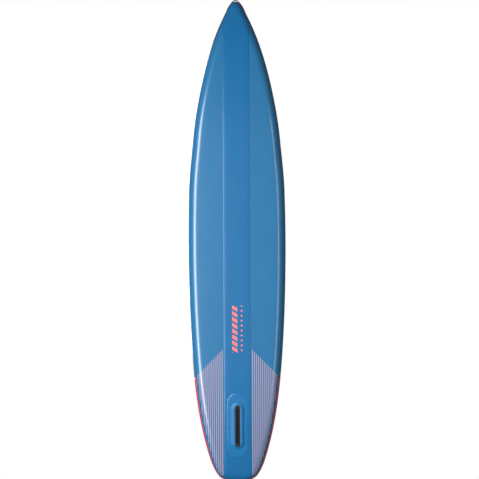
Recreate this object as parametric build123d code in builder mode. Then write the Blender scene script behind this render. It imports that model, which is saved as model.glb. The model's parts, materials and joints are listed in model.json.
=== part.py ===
"""Inflatable touring stand up paddleboard, lying deck up on the flat of its bottom.

Millimetres. +X runs to the nose, +Y to the left rail, +Z up through the deck.
The origin is under the middle of the board, on the surface that it rests on.
"""
import os
from math import atan, cos, radians, sin

from build123d import *

os.makedirs("parts", exist_ok=True)

# ---------------------------------------------------------------- driving dimensions
LENGTH = 3810.0            # twelve foot six
RAIL_RADIUS = 76.0         # half of the six inch thickness; the rails are half rounds
NOSE_ROCKER, NOSE_RUN = 230.0, 1650.0
TAIL_ROCKER, TAIL_RUN = 95.0, 1160.0
NOSE_CURVE, TAIL_CURVE = 2.4, 2.2
END_ANGLE = 20.0           # the ends are closed where the end curve is this far round

SKIN = 2.0                 # outer laminate
CORE = 2.0                 # drop-stitch sheets and inner rail wall
TAPE = 1.5                 # inner seam tape
STRINGER = 1.5             # reinforcing band, proud of the bottom
PATCH = 2.0                # glued patches on the deck
PAD = 5.0                  # EVA foam
TRIM = 0.3                 # stringer left under the ground plane, then cut flat
BOTTOM = STRINGER - TRIM   # height of the bottom skin's outer face where it is flat

DECK_CUT = 120.0           # deck pieces are cut out from this height up
BAND_INSET = 10.0          # rail band starts this far in from the outline
CORE_INSET = 82.0          # drop-stitch sheets end just inside the rails' turn
STRINGER_WIDTH = 208.0
STRINGER_INSET = 22.0
NAVY_END = LENGTH / 2 - 1553.0
RED_START = LENGTH / 2 - 2982.0

# distance from the nose tip, half width
LINES = [
    (150, 105), (300, 165), (520, 233), (783, 292), (1080, 337), (1400, 367), (1650, 378),
    (1905, 381), (2250, 377), (2650, 361), (2960, 338), (3230, 306), (3440, 267), (3600, 226),
]
# angle round the end curve, half width
NOSE_END = [(END_ANGLE, 16), (40, 36), (63, 54), (90, 70)]
TAIL_END = [(90, 172), (62, 145), (40, 112), (END_ANGLE, 76)]


# ---------------------------------------------------------------- hull surfaces
def rocker(x):
    """Height of the bottom over its flat stretch."""
    nose = max(0.0, (x - LENGTH / 2 + NOSE_RUN) / NOSE_RUN)
    tail = max(0.0, (-x - LENGTH / 2 + TAIL_RUN) / TAIL_RUN)
    return NOSE_ROCKER * nose**NOSE_CURVE + TAIL_ROCKER * tail**TAIL_CURVE


def middle(x):
    """Height of the rails' widest line."""
    return BOTTOM + RAIL_RADIUS + rocker(x)


def run(x):
    """Height and slope of the rails' widest line, which is straight between stations."""
    marks = sorted(station[0] for station in stations(0))
    rear = max(mark for mark in marks if mark < x)
    front = min(mark for mark in marks if mark >= x)
    slope = (middle(front) - middle(rear)) / (front - rear)
    return middle(rear) + slope * (x - rear), atan(slope)


def half_width(x):
    """Half width of the hull, which is straight between stations."""
    rows = sorted(stations(0))
    for (rear, rear_width, _), (front, front_width, _) in zip(rows, rows[1:]):
        if rear <= x <= front:
            return rear_width + (front_width - rear_width) * (x - rear) / (front - rear)
    return 0.0


def deck(x, y=0.0, up=0.0):
    """Plane on the deck, tilted with it, its x towards the nose."""
    height, tilt = run(x)
    normal = (-sin(tilt), 0, cos(tilt))
    point = (x + up * normal[0], y, height + RAIL_RADIUS + up * normal[2])
    return Plane(origin=point, x_dir=(cos(tilt), 0, sin(tilt)), z_dir=normal)


def underside(x, down=0.0):
    """Plane on the bottom, tilted with it, its z out of the board."""
    height, tilt = run(x)
    normal = (sin(tilt), 0, -cos(tilt))
    point = (x + down * normal[0], 0, height - RAIL_RADIUS + down * normal[2])
    return Plane(origin=point, x_dir=(cos(tilt), 0, sin(tilt)), z_dir=normal)


def stations(grow):
    """Sections of the surface that lies this far outside the hull: x, half width, half height."""
    found = []
    for sign, end in ((1, NOSE_END), (-1, TAIL_END)):
        rows = []
        for angle, width in end:
            back = RAIL_RADIUS * (cos(radians(END_ANGLE)) - cos(radians(angle)))
            x = sign * (LENGTH / 2 - back + grow * cos(radians(angle)))
            rows.append((x, width + grow, (RAIL_RADIUS + grow) * sin(radians(angle))))
        if sign > 0:
            found += rows
            found += [(LENGTH / 2 - d, w + grow, RAIL_RADIUS + grow) for d, w in LINES]
        else:
            found += rows
    return found


def hull(grow):
    """Closed solid of the hull's shape, grown or shrunk evenly."""
    with BuildPart() as solid:
        for x, width, height in stations(grow):
            turn = min(RAIL_RADIUS + grow, width - 1)
            flat = width - turn
            with BuildSketch(Plane(origin=(x, 0, middle(x)), x_dir=(0, 1, 0), z_dir=(1, 0, 0))):
                with BuildLine():
                    Line((-flat, -height), (flat, -height))
                    EllipticalCenterArc((flat, 0), turn, height, start_angle=-90, arc_size=180)
                    Line((flat, height), (-flat, height))
                    EllipticalCenterArc((-flat, 0), turn, height, start_angle=90, arc_size=180)
                make_face()
        loft(ruled=True)
    return solid.part


def outline(inset):
    """Upright prism inside the board's outline, by this much."""
    rows = [(x, w) for x, w, _ in stations(-inset)]
    if inset >= CORE_INSET - 20:
        rows = [(LENGTH / 2 - d, w - inset) for d, w in LINES]
    rows = [(x, w) for x, w in rows if w > 5]
    with BuildPart() as prism:
        with BuildSketch(Plane.XY.offset(-50)):
            with BuildLine():
                left = Spline(rows)
                right = Spline([(x, -y) for x, y in rows])
                Line(left @ 0, right @ 0)
                Line(left @ 1, right @ 1)
            make_face()
        extrude(amount=600)
    return prism.part


def block(x_low, x_high, y_low, y_high, z_low=-50.0, z_high=550.0):
    """Plain box between two corners, for cutting."""
    size = (x_high - x_low, y_high - y_low, z_high - z_low)
    with BuildPart(Plane((x_low, y_low, z_low))) as cutter:
        Box(*size, align=(Align.MIN, Align.MIN, Align.MIN))
    return cutter.part


def lower(shape):
    return shape.solids().sort_by(Axis.Z)[0]


def upper(shape):
    return shape.solids().sort_by(Axis.Z)[-1]


def save(piece, name):
    piece.part.label = name
    export_step(piece.part, f"parts/{name}.step")


skin_face = hull(0)
core_face = hull(-SKIN)
wall_face = hull(-SKIN - CORE)
tape_face = hull(-SKIN - CORE - TAPE)
skin_layer = skin_face - core_face
core_layer = core_face - wall_face
tape_layer = wall_face - tape_face
panel_prism = outline(BAND_INSET)
core_prism = outline(CORE_INSET)
HALF = LENGTH / 2 + 60
sides = {"left": block(-HALF, HALF, 0, 450), "right": block(-HALF, HALF, -450, 0)}

# ---------------------------------------------------------------- valve dimensions
VALVE_X = 330.0
BORE = 16.0                # where the pump hose pushes in
BORE_END = -3.0
THROAT = 15.0              # below the hose's step
COLLAR = 18.5
FLANGE = 30.0
FLANGE_TOP = 3.5           # over the valve patch
COLLAR_TOP = 8.0
TUBE_END = -32.0
SEAT_TOP, SEAT_END = -20.0, -22.0
SEAT_BORE = 10.5
HUB_TOP = -14.0
STEM = 3.0
CLEAR = 0.3
VALVE_Z = deck(VALVE_X).origin.Z + PATCH
HINGE_X = VALVE_X + 33.0
HINGE_UP = 6.2
PIN = 1.2


def valve_ring(inner, outer, low, high):
    """Ring about the valve's axis, between two heights over the valve patch."""
    with BuildPart(Plane((VALVE_X, 0, VALVE_Z + low))) as ring:
        Cylinder(outer, high - low, align=(Align.CENTER, Align.CENTER, Align.MIN))
        if inner:
            Cylinder(inner, high - low, align=(Align.CENTER, Align.CENTER, Align.MIN),
                     mode=Mode.SUBTRACT)
    return ring.part


valve_hole = valve_ring(0, COLLAR + 0.8, TUBE_END, PAD + 10)

# ---------------------------------------------------------------- skins and core
with BuildPart() as bottom_skin:
    add(lower(skin_layer & panel_prism))
save(bottom_skin, "bottom_skin")

with BuildPart() as deck_skin:
    add(upper(skin_layer & panel_prism))
    add(valve_hole, mode=Mode.SUBTRACT)
save(deck_skin, "deck_skin")

with BuildPart() as core_bottom_sheet:
    add(lower(core_layer & core_prism))
save(core_bottom_sheet, "core_bottom_sheet")

# the deck's drop-stitch sheet is laid in flat panels, one between each two stations
SHEET_GAP = 0.4
sheet_marks = sorted(LENGTH / 2 - distance for distance, _ in LINES)
with BuildPart() as sheet_rooms:
    for rear, front in zip([-HALF] + sheet_marks, sheet_marks + [HALF]):
        add(block(rear + SHEET_GAP / 2, front - SHEET_GAP / 2, -450, 450))
with BuildPart() as core_deck_sheet:
    add(upper(core_layer & core_prism))
    add(valve_hole, mode=Mode.SUBTRACT)
    add(sheet_rooms.part, mode=Mode.INTERSECT)
save(core_deck_sheet, "core_deck_sheet")

BAND_ENDS = {
    "nose": (NAVY_END, HALF), "mid": (RED_START, NAVY_END), "tail": (-HALF, RED_START),
}
rail_ring = skin_layer - panel_prism
wall_ring = core_layer - core_prism
tape_ring = (tape_layer & outline(CORE_INSET - 20)) - outline(CORE_INSET + 20)
for side, half in sides.items():
    for stretch, (rear, front) in BAND_ENDS.items():
        y_low, y_high = (0, 450) if side == "left" else (-450, 0)
        with BuildPart() as rail_band:
            add(rail_ring)
            add(block(rear, front, y_low, y_high), mode=Mode.INTERSECT)
        save(rail_band, f"rail_band_{stretch}_{side}")
    with BuildPart() as inner_wall:
        add(wall_ring)
        add(half, mode=Mode.INTERSECT)
    save(inner_wall, f"inner_wall_{side}")
    with BuildPart() as seam_tape:
        add(tape_ring)
        add(half, mode=Mode.INTERSECT)
    save(seam_tape, f"inner_seam_tape_{side}")

# a coarse grid of yarn bundles stands for the thousands of drop-stitch threads
YARN_PITCH_X, YARN_PITCH_Y, YARN_RADIUS = 215.0, 112.0, 2.0
YARN_SHIFT = 11.0          # keeps the rows off the hull's stations
YARN_INSET = CORE_INSET + 48
YARN_REACH = RAIL_RADIUS - SKIN - CORE / 2   # woven halfway into both sheets
yarn_spots = []
for row in range(-7, 8):
    for column in range(-2, 3):
        yarn_x, yarn_y = YARN_SHIFT + row * YARN_PITCH_X, column * YARN_PITCH_Y
        if abs(yarn_y) < half_width(yarn_x) - YARN_INSET:
            yarn_spots.append((yarn_x, yarn_y, run(yarn_x)[0]))
with BuildPart() as core_yarns:
    with Locations(*yarn_spots):
        Cylinder(YARN_RADIUS, 2 * YARN_REACH)
save(core_yarns, "core_yarns")

# ---------------------------------------------------------------- bottom reinforcement
stringer_face = hull(STRINGER)
stringer_room = outline(STRINGER_INSET) & block(
    -HALF, HALF, -STRINGER_WIDTH / 2, STRINGER_WIDTH / 2, z_low=0.0)
with BuildPart() as bottom_stringer:
    add(lower((stringer_face - skin_face) & stringer_room))
save(bottom_stringer, "bottom_stringer")

# ---------------------------------------------------------------- fin box
FIN_X = LENGTH / 2 - 3351.0
FIN_PATCH = (517.0, 160.0)
FIN_BASE = (371.0, 109.0)
FIN_INSERT = (333.0, 40.0)
FIN_SLOT = (272.0, 11.0)
FIN_BASE_RISE, FIN_INSERT_RISE = 15.0, 17.0
SLOT_DEPTH = 12.5
fin_patch_face = hull(STRINGER + TAPE)


def fin_oval(size, low, high):
    """Long rounded block standing on the bottom, measured out of the board."""
    with BuildPart() as oval:
        with BuildSketch(underside(FIN_X, low)):
            SlotOverall(*size)
        extrude(amount=high - low)
    return oval.part


with BuildPart() as fin_box_patch:
    with BuildSketch(Plane.XY.offset(-20)):
        with Locations((FIN_X, 0)):
            SlotOverall(*FIN_PATCH)
    extrude(amount=110)
    add(fin_patch_face, mode=Mode.INTERSECT)
    add(stringer_face, mode=Mode.SUBTRACT)
save(fin_box_patch, "fin_box_patch")

with BuildPart() as fin_box_base:
    add(fin_oval(FIN_BASE, -12, FIN_BASE_RISE))
    rim = fin_box_base.faces().sort_by(SortBy.AREA)[-2:].sort_by(Axis.Z)[0]
    chamfer(rim.edges(), 10, 18)
    add(fin_oval(FIN_INSERT, -20, FIN_BASE_RISE + 1), mode=Mode.SUBTRACT)
    add(fin_patch_face, mode=Mode.SUBTRACT)
save(fin_box_base, "fin_box_base")

with BuildPart() as fin_box_insert:
    add(fin_oval(FIN_INSERT, -12, FIN_INSERT_RISE))
    crown = fin_box_insert.faces().sort_by(SortBy.AREA)[-2:].sort_by(Axis.Z)[0]
    fillet(crown.edges(), 2.5)
    add(fin_oval(FIN_SLOT, FIN_INSERT_RISE - SLOT_DEPTH, FIN_INSERT_RISE + 1), mode=Mode.SUBTRACT)
    with BuildSketch(underside(FIN_X, FIN_INSERT_RISE)):
        with Locations((FIN_SLOT[0] / 2 + 13, 0), (-FIN_SLOT[0] / 2 - 13, 0)):
            Circle(5.5)
    extrude(amount=-5, mode=Mode.SUBTRACT)
    add(fin_patch_face, mode=Mode.SUBTRACT)
save(fin_box_insert, "fin_box_insert")

# ---------------------------------------------------------------- deck pad and kick pad
PAD_REAR, PAD_FRONT = -1560.0, 235.0
PAD_WIDTH = 560.0
PAD_INSET = 92.0
HANDLE_X = -30.0
WELL = (330.0, 150.0)
pad_face = hull(PAD)
patch_face = hull(PATCH)

with BuildPart() as deck_pad:
    with BuildSketch(Plane.XY.offset(DECK_CUT)):
        with Locations(((PAD_REAR + PAD_FRONT) / 2, 0)):
            RectangleRounded(PAD_FRONT - PAD_REAR, PAD_WIDTH, 110)
        with Locations((HANDLE_X, 0)):
            RectangleRounded(*WELL, 30, mode=Mode.SUBTRACT)
    extrude(amount=400)
    add(outline(PAD_INSET), mode=Mode.INTERSECT)
    add(pad_face, mode=Mode.INTERSECT)
    add(skin_face, mode=Mode.SUBTRACT)
save(deck_pad, "deck_pad")

KICK_X = PAD_REAR + 75.0
KICK_SECTION = [(-55, -6), (55, -6), (55, PAD + 2), (-12, 30), (-40, 30), (-55, 22)]
with BuildPart() as kick_pad:
    with BuildSketch(Plane(origin=deck(KICK_X).origin, x_dir=deck(KICK_X).x_dir, z_dir=(0, -1, 0))):
        with BuildLine():
            Polyline(*KICK_SECTION, close=True)
        make_face()
    extrude(amount=130, both=True)
    add(pad_face, mode=Mode.SUBTRACT)
save(kick_pad, "kick_pad")

# ---------------------------------------------------------------- carry handle
STRAP, STRAP_WIDTH = 3.0, 38.0
GRIP_UP = 33.0
HANDLE_PATCH_X = 118.0
carry_plane = Plane(origin=deck(HANDLE_X, up=PATCH).origin, x_dir=(1, 0, 0), z_dir=(0, -1, 0))
half_strap = [(0, GRIP_UP), (62, GRIP_UP), (96, STRAP / 2), (150, STRAP / 2)]
strap_route = [(-x, z) for x, z in half_strap[:0:-1]] + half_strap

with BuildPart() as carry_handle_patches:
    with BuildSketch(Plane.XY.offset(DECK_CUT)):
        with Locations((HANDLE_X + HANDLE_PATCH_X, 0), (HANDLE_X - HANDLE_PATCH_X, 0)):
            RectangleRounded(86, 96, 14)
    extrude(amount=200)
    add(patch_face, mode=Mode.INTERSECT)
    add(skin_face, mode=Mode.SUBTRACT)
save(carry_handle_patches, "carry_handle_patches")

with BuildPart() as carry_handle_strap:
    with BuildSketch(carry_plane):
        with BuildLine():
            route = Polyline(*strap_route)
        trace(route, line_width=STRAP)
    extrude(amount=STRAP_WIDTH / 2, both=True)
    add(patch_face, mode=Mode.SUBTRACT)
save(carry_handle_strap, "carry_handle_strap")

with BuildPart() as carry_handle_grip:
    grip_centre = carry_plane.origin + Vector(-58, 0, GRIP_UP)
    with BuildSketch(Plane(origin=grip_centre, x_dir=(0, 1, 0), z_dir=(1, 0, 0))):
        Ellipse(25, 12)
    extrude(amount=116)
    add(carry_handle_strap.part, mode=Mode.SUBTRACT)
save(carry_handle_grip, "carry_handle_grip")

# ---------------------------------------------------------------- nose and tail handles
END_STRAP_TALL = 26.0
END_REACH = LENGTH / 2 + 17.0


def end_strap(name, sign, ends, apex):
    """Webbing that crosses an end of the board at mid height, held on both rails."""
    strap_rows = [row for row in stations(PATCH + STRAP / 2) if row[0] * sign > 0]
    held = [(x, w) for x, w, _ in strap_rows if ends[0] < w < ends[1]]
    held.sort(key=lambda point: -point[1])
    route_half = held + [(sign * (END_REACH - STRAP / 2), apex)]
    points = route_half + [(x, -y) for x, y in reversed(route_half)]
    level = middle(sign * LENGTH / 2 * 0.99)
    with BuildPart() as strap:
        with BuildSketch(Plane.XY.offset(level - END_STRAP_TALL / 2)):
            with BuildLine():
                path = Polyline(*points)
            trace(path, line_width=STRAP)
        extrude(amount=END_STRAP_TALL)
        add(patch_face, mode=Mode.SUBTRACT)
    save(strap, name)
    outer = held[0][1] + 2
    inner = held[-1][1] - 8
    reach = sorted((sign * (LENGTH / 2 + 20), sign * (abs(held[0][0]) - 8)))
    with BuildPart() as patches:
        add(block(*reach, -outer, outer, level - 24, level + 24))
        add(block(*reach, -inner, inner), mode=Mode.SUBTRACT)
        add(patch_face, mode=Mode.INTERSECT)
        add(skin_face, mode=Mode.SUBTRACT)
    save(patches, f"{name}_patches")


end_strap("nose_handle", 1, (50, 80), 14)
end_strap("tail_handle", -1, (105, 165), 72)

# ---------------------------------------------------------------- D-rings
RING_WIRE = 2.0            # radius
RING_WIDTH = 27.0          # between the legs' centres
RING_LEG = 7.0
LOOP_HOLE, LOOP_OUT = 2.3, 3.9
TAB_WIDTH, TAB_LENGTH = 20.0, 34.0
RING_PATCH = 36.0
# x, y, and the turn of the side that its tab lies on
RINGS = {
    "cargo_ring_rear_left": (440, 200, 90),
    "cargo_ring_rear_right": (440, -200, -90),
    "cargo_ring_mid_left": (760, 185, 90),
    "cargo_ring_mid_right": (760, -185, -90),
    "cargo_ring_front_left": (1070, 150, 90),
    "cargo_ring_front_right": (1070, -150, -90),
    "leash_ring": (-1780, 0, 0),
}


def ring_plane(x, y, turn):
    """Plane at the ring's bar, its x pointing from the ring back to its tab."""
    seat = deck(x, y, PATCH + LOOP_OUT)
    back = seat.x_dir * cos(radians(turn)) + seat.y_dir * sin(radians(turn))
    return Plane(origin=seat.origin, x_dir=back, z_dir=seat.z_dir)


def ring_path(plane):
    """D outline in the ring's plane: bar on the y axis, bow towards minus x."""
    half = RING_WIDTH / 2
    with BuildLine(plane) as path:
        Line((0, -half), (0, half))
        Line((0, half), (-RING_LEG, half))
        ThreePointArc((-RING_LEG, half), (-RING_LEG - half, 0), (-RING_LEG, -half))
        Line((-RING_LEG, -half), (0, -half))
    return path


with BuildPart() as ring_patches:
    with BuildSketch(Plane.XY.offset(DECK_CUT)):
        with Locations(*[(x, y) for x, y, _ in RINGS.values()]):
            Circle(RING_PATCH)
    extrude(amount=400)
    add(patch_face, mode=Mode.INTERSECT)
    add(skin_face, mode=Mode.SUBTRACT)
save(ring_patches, "ring_patches")

with BuildPart() as ring_tabs:
    for x, y, turn in RINGS.values():
        plane = ring_plane(x, y, turn)
        with BuildSketch(Plane(origin=plane.origin, x_dir=plane.x_dir, z_dir=-plane.y_dir)):
            Circle(LOOP_OUT)
            with Locations((TAB_LENGTH / 2, -LOOP_OUT + 1.6)):
                Rectangle(TAB_LENGTH, 3.2)
            Circle(LOOP_HOLE, mode=Mode.SUBTRACT)
        extrude(amount=TAB_WIDTH / 2, both=True)
    add(patch_face, mode=Mode.SUBTRACT)
save(ring_tabs, "ring_tabs")

for name, (x, y, turn) in RINGS.items():
    plane = ring_plane(x, y, turn)
    path = ring_path(plane)
    with BuildPart() as d_ring:
        with BuildSketch(Plane(origin=plane.origin, x_dir=plane.x_dir, z_dir=plane.y_dir)):
            Circle(RING_WIRE)
        sweep(path=path.line, transition=Transition.RIGHT)
    save(d_ring, name)

# ---------------------------------------------------------------- inflation valve
with BuildPart() as valve_patch:
    add(valve_ring(COLLAR + 0.8, 44, -20, 20))
    add(patch_face, mode=Mode.INTERSECT)
    add(skin_face, mode=Mode.SUBTRACT)
save(valve_patch, "valve_patch")

GUIDE_RADIUS, GUIDE_ARM, GUIDE_ARM_HEIGHT = 6.0, 3.0, 5.0
with BuildPart(Plane((VALVE_X, 0, VALVE_Z + SEAT_END))) as stem_guide:
    with PolarLocations(0, 3):
        Box(THROAT + 1, GUIDE_ARM, GUIDE_ARM_HEIGHT, align=(Align.MIN, Align.CENTER, Align.MIN))
    Cylinder(GUIDE_RADIUS, HUB_TOP - SEAT_END, align=(Align.CENTER, Align.CENTER, Align.MIN))
    Cylinder(STEM + CLEAR, 20, mode=Mode.SUBTRACT)

EAR = [(-8, 0.6), (3, 0.6), (3, HINGE_UP), (-3, HINGE_UP), (-8, FLANGE_TOP)]
EAR_INNER, EAR_OUTER = 6.0, 9.0
hinge_plane = Plane(origin=(HINGE_X, 0, VALVE_Z + HINGE_UP), x_dir=(1, 0, 0), z_dir=(0, -1, 0))
with BuildPart() as valve_body:
    add(valve_ring(COLLAR, FLANGE, -1, FLANGE_TOP))
    for ear_y in (EAR_OUTER, -EAR_INNER):
        ear_plane = Plane(origin=(HINGE_X, ear_y, VALVE_Z), x_dir=(1, 0, 0), z_dir=(0, -1, 0))
        with BuildSketch(ear_plane):
            with Locations((0, HINGE_UP)):
                Circle(3)
            Polygon(*EAR, align=None)
        extrude(amount=EAR_OUTER - EAR_INNER)
    with BuildSketch(hinge_plane):
        Circle(PIN)
    extrude(amount=7, both=True)
    add(patch_face, mode=Mode.SUBTRACT)
    add(valve_ring(BORE, COLLAR, BORE_END, COLLAR_TOP))
    add(valve_ring(THROAT, COLLAR, TUBE_END, BORE_END))
    add(valve_ring(SEAT_BORE, THROAT, SEAT_END, SEAT_TOP))
    add(stem_guide.part)
save(valve_body, "valve_body")

with BuildPart() as valve_gasket:
    add(valve_ring(COLLAR + 0.2, 28, -PATCH - SKIN - CORE - 1.6, -PATCH - SKIN - CORE + 1))
    add(wall_face, mode=Mode.INTERSECT)
save(valve_gasket, "valve_gasket")

with BuildPart() as valve_back_nut:
    add(valve_ring(COLLAR, 27, -16.0, -PATCH - SKIN - CORE - 1.6))
save(valve_back_nut, "valve_back_nut")

with BuildPart() as valve_seal_disc:
    add(valve_ring(STEM + CLEAR, 13.5, SEAT_END - CLEAR - 2, SEAT_END - CLEAR))
save(valve_seal_disc, "valve_seal_disc")

PLATE_TOP = SEAT_END - 2 * CLEAR - 2
BUTTON_TOP = -4.0
with BuildPart() as valve_stem:
    add(valve_ring(0, 12.5, PLATE_TOP - 2, PLATE_TOP))
    add(valve_ring(0, STEM, PLATE_TOP, BUTTON_TOP - 2))
    add(valve_ring(0, 8, BUTTON_TOP - 2, BUTTON_TOP))
save(valve_stem, "valve_stem")

with BuildPart() as valve_spring:
    add(valve_ring(STEM + 1, 5.6, HUB_TOP + CLEAR, BUTTON_TOP - 2 - CLEAR))
save(valve_spring, "valve_spring")

CAP_RIM, CAP_FACE = 23.0, 17.0
with BuildPart(Plane((VALVE_X, 0, VALVE_Z + CAP_FACE))) as thumb_bar:
    Box(5, 22, 6, align=(Align.CENTER, Align.CENTER, Align.MIN))

with BuildPart() as valve_cap:
    add(valve_ring(COLLAR + 0.9, CAP_RIM, FLANGE_TOP + CLEAR + 0.2, 9.5))
    add(valve_ring(0, CAP_RIM, 9.5, 12))
    add(valve_ring(0, 9, 12, 15))
    add(valve_ring(0, 12, 15, CAP_FACE))
    add(thumb_bar.part)
save(valve_cap, "valve_cap")

with BuildPart() as valve_cap_seal:
    add(valve_ring(BORE + 0.5, COLLAR + 0.3, COLLAR_TOP + CLEAR, 9.5))
save(valve_cap_seal, "valve_cap_seal")

with BuildPart() as valve_cap_strap:
    add(valve_ring(9.4, 13, 12.4, 14.4))
    with BuildSketch(Plane(origin=(VALVE_X, 0, VALVE_Z), x_dir=(1, 0, 0), z_dir=(0, -1, 0))):
        with BuildLine():
            bend = Polyline((11, 13.4), (33, 13.4), (33, HINGE_UP + 2))
        trace(bend, line_width=2)
        with Locations((33, HINGE_UP)):
            Circle(2.6)
            Circle(PIN + 0.08, mode=Mode.SUBTRACT)
    extrude(amount=5.6, both=True)
save(valve_cap_strap, "valve_cap_strap")
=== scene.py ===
"""Looks of the inflatable touring paddleboard. Metres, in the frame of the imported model.

+X is the nose, +Y the left rail, +Z up through the deck. The camera looks up at the bottom.
"""
import json
import math

import bmesh
import bpy
import numpy as np
from mathutils import Matrix, Vector

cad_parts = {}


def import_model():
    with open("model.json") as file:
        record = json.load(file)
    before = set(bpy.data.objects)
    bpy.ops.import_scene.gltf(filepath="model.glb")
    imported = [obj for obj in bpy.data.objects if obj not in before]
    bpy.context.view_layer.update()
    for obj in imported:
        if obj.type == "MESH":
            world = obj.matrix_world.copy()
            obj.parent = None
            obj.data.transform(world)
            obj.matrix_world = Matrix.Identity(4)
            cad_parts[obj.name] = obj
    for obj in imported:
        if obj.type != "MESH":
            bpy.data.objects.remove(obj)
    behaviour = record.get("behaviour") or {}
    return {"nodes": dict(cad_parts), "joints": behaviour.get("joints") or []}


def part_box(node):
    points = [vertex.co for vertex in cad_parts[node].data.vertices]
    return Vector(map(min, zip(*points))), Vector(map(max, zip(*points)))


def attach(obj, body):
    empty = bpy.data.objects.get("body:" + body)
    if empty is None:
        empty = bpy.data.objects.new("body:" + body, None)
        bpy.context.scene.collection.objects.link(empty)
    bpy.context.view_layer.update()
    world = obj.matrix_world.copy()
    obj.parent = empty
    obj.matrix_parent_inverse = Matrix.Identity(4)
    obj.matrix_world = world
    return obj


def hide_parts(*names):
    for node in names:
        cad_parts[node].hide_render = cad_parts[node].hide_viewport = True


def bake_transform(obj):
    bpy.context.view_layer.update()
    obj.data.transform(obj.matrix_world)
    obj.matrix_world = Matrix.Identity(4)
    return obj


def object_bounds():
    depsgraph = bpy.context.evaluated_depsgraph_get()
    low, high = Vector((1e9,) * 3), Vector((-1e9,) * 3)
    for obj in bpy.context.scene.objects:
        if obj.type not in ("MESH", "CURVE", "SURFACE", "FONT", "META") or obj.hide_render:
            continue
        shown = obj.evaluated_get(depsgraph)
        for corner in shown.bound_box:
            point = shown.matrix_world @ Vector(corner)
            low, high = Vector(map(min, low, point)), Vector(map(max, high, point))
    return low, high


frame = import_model()
cad_low, cad_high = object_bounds()

NODES = frame["nodes"]
MM = 0.001
RAIL = 0.076            # rail radius, half of the board's thickness
BELT = 0.041            # the rail bands cover this much above and below the widest line
SKIN_LAP = 0.004        # the skins run this far under the bands
TAU = 2 * math.pi


# ------------------------------------------------------------------ hull shape, from the frame
def vertices(*names):
    return np.array([v.co for name in names for v in NODES[name].data.vertices])


def heights_at(points, x):
    """Lowest and highest of the points at this x, if there are any."""
    found = points[abs(points[:, 0] - x) < 0.06 * MM][:, 2]
    return (found.min(), found.max()) if len(found) else None


def read_stations():
    """Sections of the hull, tail to nose: x, half width, height of the widest line, half height."""
    band = vertices(*(name for name in NODES if name.startswith("rail_band")))
    bottom, deck = vertices("bottom_skin"), vertices("deck_skin")
    end_x = band[:, 0].max()
    end_low, end_high = heights_at(band, end_x)
    turn_starts = end_x - math.sqrt(RAIL**2 - ((end_high - end_low) / 2) ** 2)
    rows = []
    for x in sorted(set(np.round(band[:, 0], 4))):
        low, high = heights_at(band, x)
        middle = (low + high) / 2
        if heights_at(bottom, x) and heights_at(deck, x):
            low, high = heights_at(bottom, x)[0], heights_at(deck, x)[1]
        round_height = math.sqrt(max(0, RAIL**2 - max(0, abs(x) - turn_starts) ** 2))
        if abs(high - middle - round_height) + abs(middle - low - round_height) < 0.12 * MM:
            width = abs(band[abs(band[:, 0] - x) < 0.06 * MM][:, 1]).max()
            rows.append((x, width, middle, round_height))
    tail_pole = (-turn_starts - RAIL, 0.0, rows[0][2] + 0.001, 0.0)
    nose_pole = (turn_starts + RAIL, 0.0, rows[-1][2] + 0.0015, 0.0)
    return np.array([tail_pole, *rows, nose_pole])


class Lines:
    """Smooth curve through the stations, as a natural cubic spline on their spacing."""

    def __init__(self, rows):
        self.rows = rows
        steps = np.linalg.norm(np.diff(rows[:, (0, 1, 3)], axis=0), axis=1)
        self.s = np.concatenate([[0], np.cumsum(steps)])
        count = len(rows)
        system, right = np.eye(count), np.zeros_like(rows)
        for i in range(1, count - 1):
            before, after = steps[i - 1], steps[i]
            system[i, i - 1:i + 2] = before, 2 * (before + after), after
            right[i] = 6 * ((rows[i + 1] - rows[i]) / after - (rows[i] - rows[i - 1]) / before)
        self.bend = np.linalg.solve(system, right)
        fine = np.linspace(0, self.s[-1], 6000)
        self.fine_s, self.fine_x = fine, self.at(fine)[:, 0]

    def at(self, s):
        """Rows of x, half width, middle height and half height."""
        s = np.clip(np.atleast_1d(s), 0, self.s[-1])
        i = np.clip(np.searchsorted(self.s, s) - 1, 0, len(self.s) - 2)
        step = (self.s[i + 1] - self.s[i])[:, None]
        a = (self.s[i + 1] - s)[:, None] / step
        b = 1 - a
        cubic = ((a**3 - a) * self.bend[i] + (b**3 - b) * self.bend[i + 1]) * step**2 / 6
        rows = a * self.rows[i] + b * self.rows[i + 1] + cubic
        rows[:, 1] = np.maximum(rows[:, 1], 0)
        rows[:, 3] = np.clip(rows[:, 3], 0, RAIL)
        return rows

    def s_of(self, x):
        return float(np.interp(x, self.fine_x, self.fine_s))

    def row(self, x):
        return self.at(self.s_of(x))[0]


lines = Lines(read_stations())
TAIL_END, NOSE_END = lines.fine_x.min(), lines.fine_x.max()


def smooth(value):
    value = np.clip(value, 0, 1)
    return value * value * (3 - 2 * value)


def turn_of(width, half):
    """Half axis, across the board, of the section's rounded side."""
    share = smooth((half - BELT) / (RAIL - BELT))
    return width + (min(RAIL, width) - width) * share


def section(row, grow):
    """Grown section: x, flat half width, side's half axis, middle height, half height."""
    x, width, middle, half = row
    turn = turn_of(width, half)
    lean = math.sqrt(max(0, 1 - (half / RAIL) ** 2))
    x += math.copysign(grow * lean, x)
    return x, width - turn, turn + grow, middle, half + grow * (1 - lean)


def across(row, y, face, grow=0.0):
    """Point of the deck (face 1) or the bottom (face -1) at this y."""
    x, flat, turn, middle, half = section(row, grow)
    beyond = max(0.0, abs(y) - flat) / max(turn, 1e-6)
    return (x, y, middle + face * half * math.sqrt(max(0.0, 1 - min(beyond, 1) ** 2)))


def round_side(row, angle, side, grow=0.0):
    """Point on the rounded side, at an angle above the widest line."""
    x, flat, turn, middle, half = section(row, grow)
    return (x, side * (flat + turn * math.cos(angle)), middle + half * math.sin(angle))


def surface(x, y, face, grow=0.0):
    return Vector(across(lines.row(x), y, face, grow))


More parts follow.
